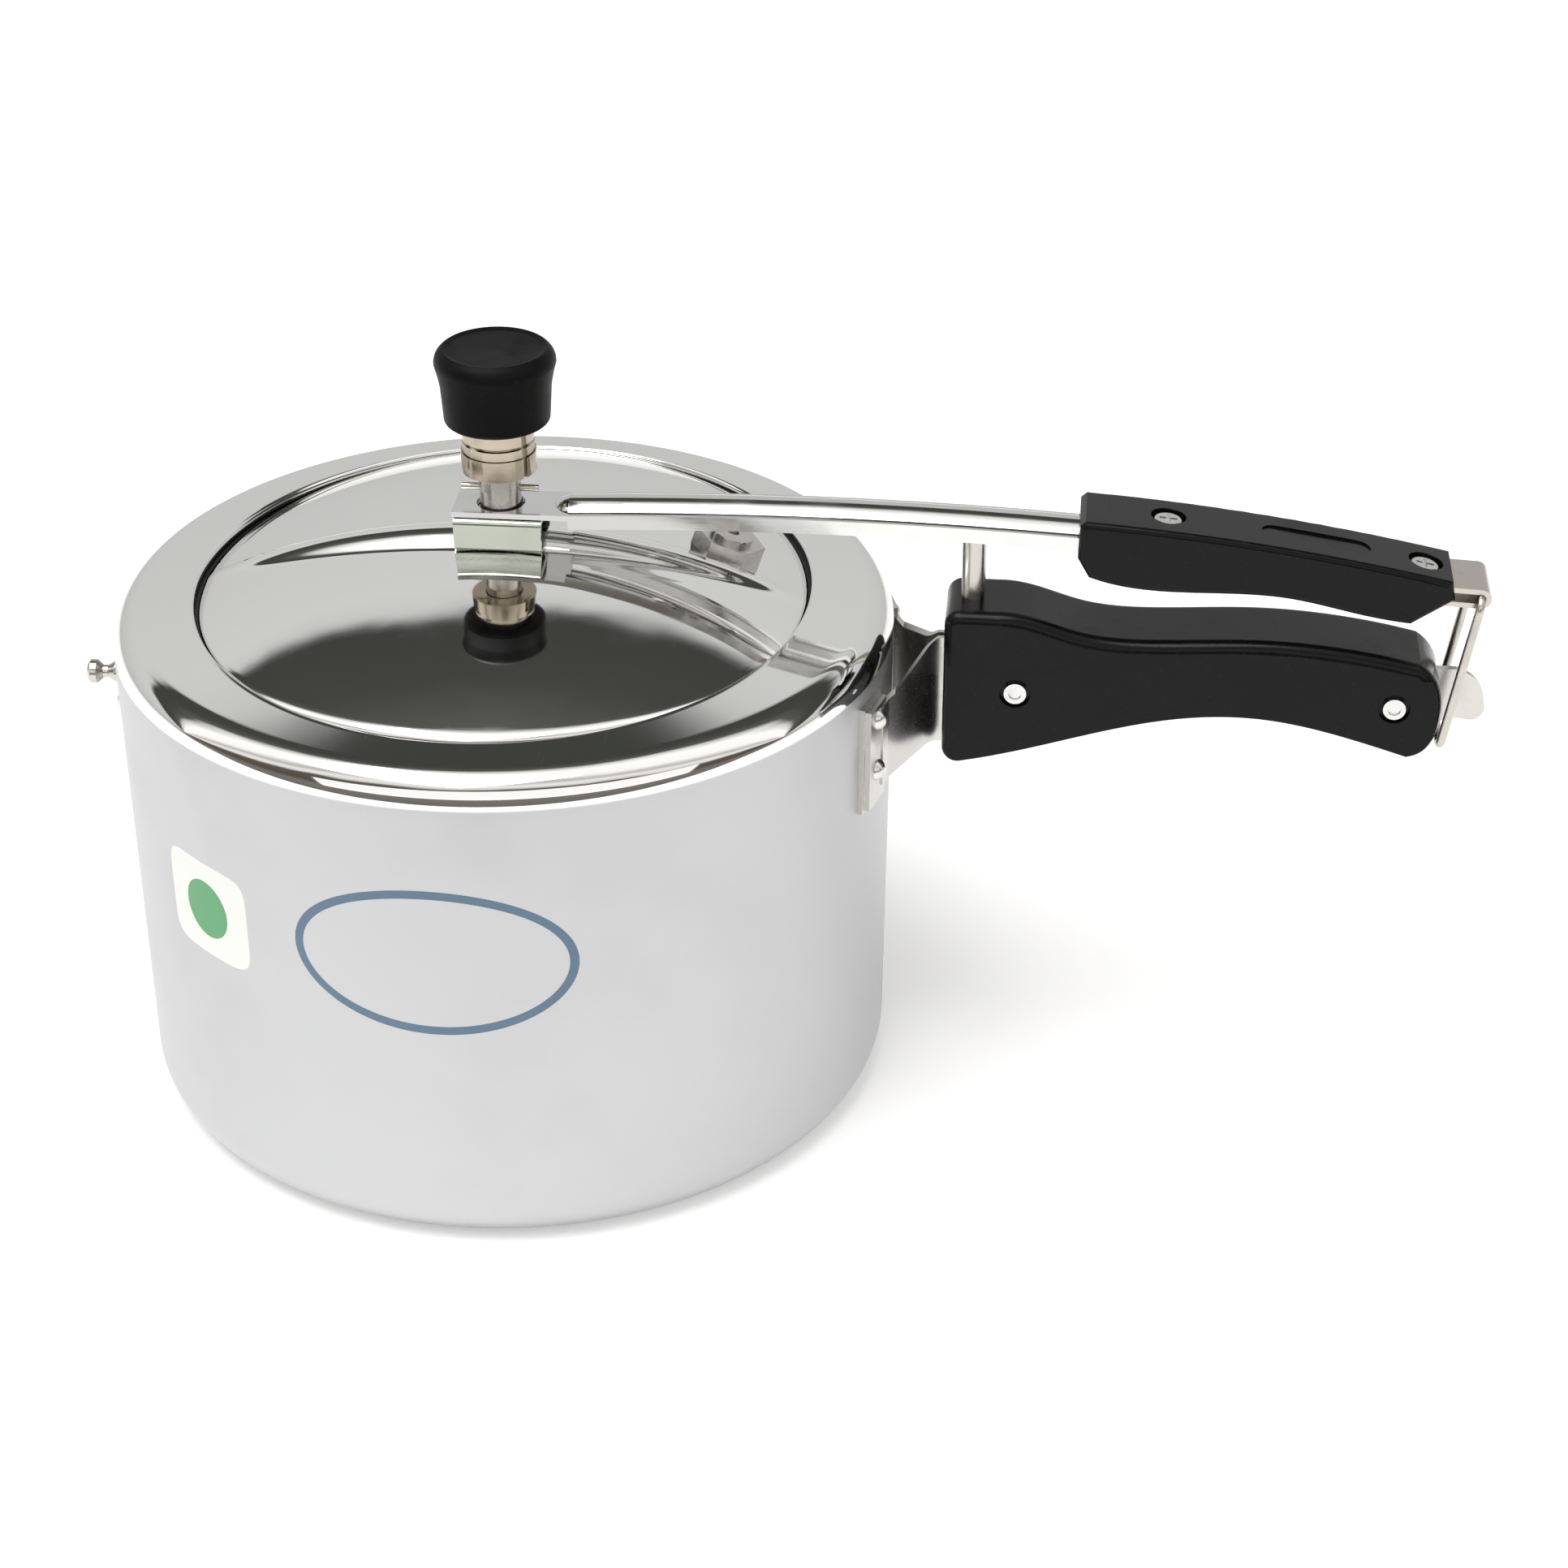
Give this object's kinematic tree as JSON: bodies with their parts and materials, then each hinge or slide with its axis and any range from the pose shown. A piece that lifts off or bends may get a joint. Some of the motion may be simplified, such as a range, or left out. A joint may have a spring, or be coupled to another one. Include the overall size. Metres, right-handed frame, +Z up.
{
  "type": "stovetop pressure cooker",
  "caption": "Aluminium inner-lid pressure cooker: straight pot, oval lid carried by a pivoted lever with a locking loop, long black handles and a weight regulator.",
  "frame": {"origin": "centre of the pot's flat base", "axes": "+Z up along the pot's axis, +X towards the handles"},
  "size_m": [0.4038, 0.224, 0.2269],
  "materials": {
    "pot_aluminium": "satin drawn wall with a polished shoulder",
    "lid_aluminium": "mirror polished",
    "bracket_steel": "plain pressed steel",
    "rivet_aluminium": "satin",
    "black_handle": "glossy black phenolic moulding",
    "screw_steel": "bright zinc plated",
    "pin_steel": "ground steel",
    "lever_chrome": "polished",
    "latch_steel": "satin steel",
    "gasket_rubber": "matt black rubber",
    "valve_metal": "worn nickel",
    "weight_chrome": "warm nickel plate",
    "cap_plastic": "matt black phenolic"
  },
  "bodies": {
    "pot": {"pot_shell": "pot_aluminium", "handle_bracket": "bracket_steel", "bracket_backing_plates": "bracket_steel", "bracket_rivets": "rivet_aluminium", "catch_strip": "bracket_steel", "body_handle_front": "black_handle", "body_handle_back": "black_handle", "handle_screws": "screw_steel", "handle_nuts": "screw_steel", "fulcrum_pin": "pin_steel", "helper_plate": "bracket_steel", "helper_rivet": "rivet_aluminium", "helper_stud": "pin_steel"},
    "lever": {"lever_bar": "lever_chrome", "fulcrum_rivet": "lever_chrome", "lid_handle": "black_handle", "lid_handle_screws": "screw_steel", "lid_handle_nuts": "screw_steel", "latch_strip": "latch_steel"},
    "loop": {"locking_loop": "latch_steel"},
    "lid": {"lid_dome": "lid_aluminium", "gasket": "gasket_rubber", "lid_saddle": "lever_chrome", "vent_tube": "pin_steel", "vent_nut": "screw_steel", "vent_washer": "screw_steel", "cross_pin": "pin_steel", "safety_valve_body": "valve_metal", "fusible_plug": "valve_metal", "safety_valve_nut": "valve_metal", "safety_valve_washer": "valve_metal"},
    "needle": {"valve_needle": "pin_steel"},
    "regulator": {"weight_body": "weight_chrome", "spring_ring": "weight_chrome", "regulator_cap": "cap_plastic"}
  },
  "joints": [
    {"name": "lever_lift", "type": "hinge", "parent": "pot", "child": "lever", "pos_m": [0.1346, 0, 0.17766], "axis": [0, -1, 0], "range_deg": [0, 6]},
    {"name": "loop_swing", "type": "hinge", "parent": "lever", "child": "loop", "pos_m": [0.2758, 0, 0.1653], "axis": [0, -1, 0], "range_deg": [0, 150]},
    {"name": "lid_tilt", "type": "hinge", "parent": "lever", "child": "lid", "pos_m": [-0.0125, 0, 0.17785], "axis": [0, 1, 0], "range_deg": [0, 6]},
    {"name": "regulator_lift", "type": "slide", "parent": "lid", "child": "needle", "axis": [0, 0, 1], "range_m": [0, 0.04]},
    {"name": "regulator_turn", "type": "hinge", "parent": "needle", "child": "regulator", "pos_m": [0, 0, 0.2], "axis": [0, 0, 1], "continuous": true}
  ],
  "couplings": [
    {"joint": "loop_swing", "follows": "lever_lift", "ratio": 25},
    {"joint": "lid_tilt", "follows": "lever_lift", "ratio": 1}
  ]
}
